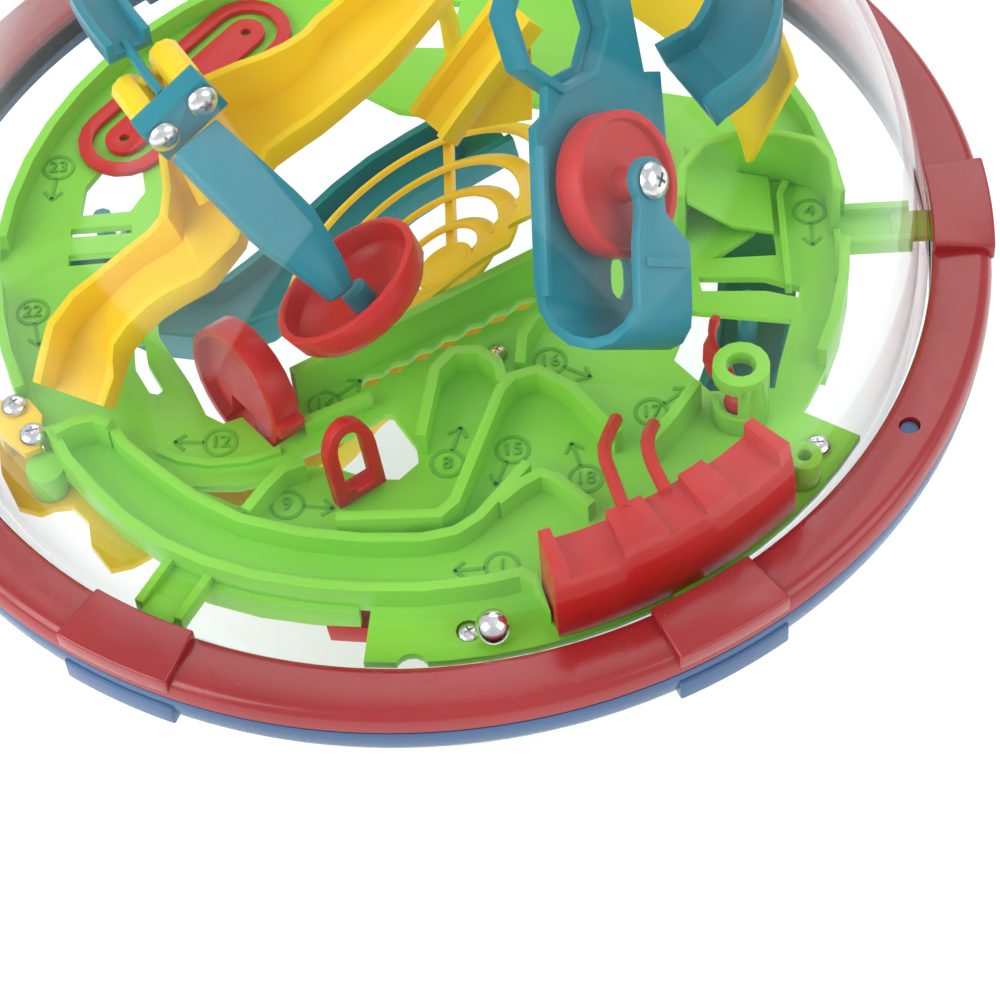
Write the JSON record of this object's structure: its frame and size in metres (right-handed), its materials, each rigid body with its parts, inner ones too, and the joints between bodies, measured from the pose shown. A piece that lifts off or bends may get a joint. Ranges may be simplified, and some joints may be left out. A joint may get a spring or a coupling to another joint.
{
  "type": "3d maze ball puzzle",
  "caption": "Clear two-part sphere with a red and blue rim round a green maze plate, with coloured tracks, gates, a funnel and a loose steel ball inside.",
  "frame": {"origin": "centre of the sphere, which is also the centre of the bounding box, on the rim's parting plane", "axes": "+Z square to the rim and the maze plate, out of the red rim's side; -Y towards the plate edge with the start pan and the ball; +X to the right seen from that edge"},
  "size_m": [0.2006, 0.2, 0.178],
  "materials": {
    "rim_red": "glossy dark red moulded plastic",
    "rim_blue": "glossy slate blue moulded plastic",
    "clear_shell": "clear polished plastic",
    "green_plastic": "satin bright green moulded plastic",
    "red_plastic": "satin red moulded plastic",
    "yellow_plastic": "satin yellow moulded plastic",
    "teal_plastic": "satin teal moulded plastic",
    "screw_steel": "bright zinc plated steel",
    "screw_brass": "yellow zinc plated screw",
    "polished_steel": "mirror polished steel"
  },
  "bodies": {
    "shell": {"beam": "teal_plastic", "beam_clamp": "teal_plastic", "beam_rail": "teal_plastic", "boss_post": "green_plastic", "boss_screw": "screw_steel", "bracket_screw_1": "screw_steel", "bracket_screw_2": "screw_steel", "bracket_screw_3": "screw_steel", "brass_screw": "screw_brass", "clamp_screw_1": "screw_steel", "clamp_screw_2": "screw_steel", "dish_pin": "teal_plastic", "drum_gate": "red_plastic", "feed_chute": "yellow_plastic", "hook_plate": "teal_plastic", "hook_post": "green_plastic", "hoop_gate": "red_plastic", "loop_rail": "red_plastic", "lower_dome": "clear_shell", "lower_rim": "rim_blue", "maze_plate": "green_plastic", "outer_sheet": "yellow_plastic", "paddle": "red_plastic", "pan_screw": "screw_steel", "side_tub": "green_plastic", "spiral_funnel": "yellow_plastic", "start_block": "red_plastic", "teal_scoop": "teal_plastic", "track_bracket": "yellow_plastic", "under_channel": "teal_plastic", "under_chute": "yellow_plastic", "under_ramp": "teal_plastic", "under_tray": "red_plastic", "upper_dome": "clear_shell", "upper_rim": "rim_red", "wave_track": "yellow_plastic", "wheel_screw": "screw_steel"},
    "wheel": {"spin_wheel": "red_plastic"},
    "dish": {"tilt_dish": "red_plastic"},
    "ball": {"steel_ball": "polished_steel"}
  },
  "joints": [
    {"name": "wheel_spin", "type": "hinge", "parent": "shell", "child": "wheel", "pos_m": [0.0348, -0.0225, 0.04], "axis": [0.7297, -0.4198, 0.5398], "continuous": true},
    {"name": "dish_turn", "type": "hinge", "parent": "shell", "child": "dish", "pos_m": [-0.0106, -0.03, 0.029], "axis": [-0.5212, 0.1904, 0.8319], "continuous": true},
    {"name": "ball_roll", "type": "hinge", "parent": "shell", "child": "ball", "pos_m": [0, 0, 0], "axis": [0, 0, 1], "range_deg": [0, 4]}
  ]
}
